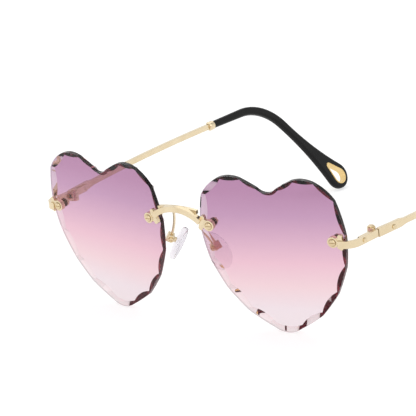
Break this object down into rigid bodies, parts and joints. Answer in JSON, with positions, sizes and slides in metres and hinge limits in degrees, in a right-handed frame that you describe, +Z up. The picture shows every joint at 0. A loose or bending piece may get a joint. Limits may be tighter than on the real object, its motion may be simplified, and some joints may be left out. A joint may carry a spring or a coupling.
{
  "type": "sunglasses",
  "caption": "Rimless sunglasses with heart-shaped gradient lenses, an arched metal bridge, folding metal temples with curved black tips and rocking nose pads.",
  "frame": {"origin": "under the middle of the bounding box, on the floor that the lens points and temple tips stand on", "axes": "+Z up, lenses face -Y, temples run to +Y, +X to the right seen from the front"},
  "size_m": [0.1458, 0.1739, 0.0583],
  "materials": {
    "lens": "polished, tinted violet pink at the top and fading to clear at the point",
    "gold": "polished pale gold plating",
    "screw_gold": "polished pale gold plating",
    "eyelet_gold": "polished yellow gold plating",
    "tip_black": "glossy black",
    "pad_clear": "clear and soft, slightly cloudy",
    "bush_clear": "clear"
  },
  "bodies": {
    "front": {"bridge": "gold", "lens_left": "lens", "bridge_screw_left": "screw_gold", "bridge_bush_left": "bush_clear", "bridge_washer_left": "bush_clear", "bridge_nut_left": "screw_gold", "endpiece_screw_left": "screw_gold", "endpiece_bush_left": "bush_clear", "endpiece_washer_left": "bush_clear", "endpiece_nut_left": "screw_gold", "endpiece_left": "gold", "front_hinge_left": "gold", "endpiece_rivet_left": "screw_gold", "hinge_screw_left": "screw_gold", "pad_arm_left": "gold", "pad_box_left": "gold", "pad_screw_left": "screw_gold", "lens_right": "lens", "bridge_screw_right": "screw_gold", "bridge_bush_right": "bush_clear", "bridge_washer_right": "bush_clear", "bridge_nut_right": "screw_gold", "endpiece_screw_right": "screw_gold", "endpiece_bush_right": "bush_clear", "endpiece_washer_right": "bush_clear", "endpiece_nut_right": "screw_gold", "endpiece_right": "gold", "front_hinge_right": "gold", "endpiece_rivet_right": "screw_gold", "hinge_screw_right": "screw_gold", "pad_arm_right": "gold", "pad_box_right": "gold", "pad_screw_right": "screw_gold"},
    "temple_left": {"temple_left": "gold", "temple_hinge_left": "gold", "temple_rivet_left": "screw_gold", "ferrule_left": "gold", "tip_left": "tip_black", "eyelet_left": "eyelet_gold"},
    "temple_right": {"temple_right": "gold", "temple_hinge_right": "gold", "temple_rivet_right": "screw_gold", "ferrule_right": "gold", "tip_right": "tip_black", "eyelet_right": "eyelet_gold"},
    "nose_pad_left": {"nose_pad_left": "pad_clear", "pad_lug_left": "gold"},
    "nose_pad_right": {"nose_pad_right": "pad_clear", "pad_lug_right": "gold"}
  },
  "joints": [
    {"name": "temple_left_fold", "type": "hinge", "parent": "front", "child": "temple_left", "pos_m": [-0.066, -0.06211, 0.03614], "axis": [0, 0.0087, -1], "range_deg": [0, 91]},
    {"name": "temple_right_fold", "type": "hinge", "parent": "front", "child": "temple_right", "pos_m": [0.066, -0.06211, 0.03614], "axis": [0, -0.0087, 1], "range_deg": [0, 75]},
    {"name": "nose_pad_left_rock", "type": "hinge", "parent": "front", "child": "nose_pad_left", "pos_m": [-0.01081, -0.07682, 0.02945], "axis": [-0.4957, 0.7933, 0.3536], "range_deg": [-10, 10]},
    {"name": "nose_pad_right_rock", "type": "hinge", "parent": "front", "child": "nose_pad_right", "pos_m": [0.01081, -0.07682, 0.02945], "axis": [-0.4957, -0.7933, -0.3536], "range_deg": [-10, 10]}
  ]
}
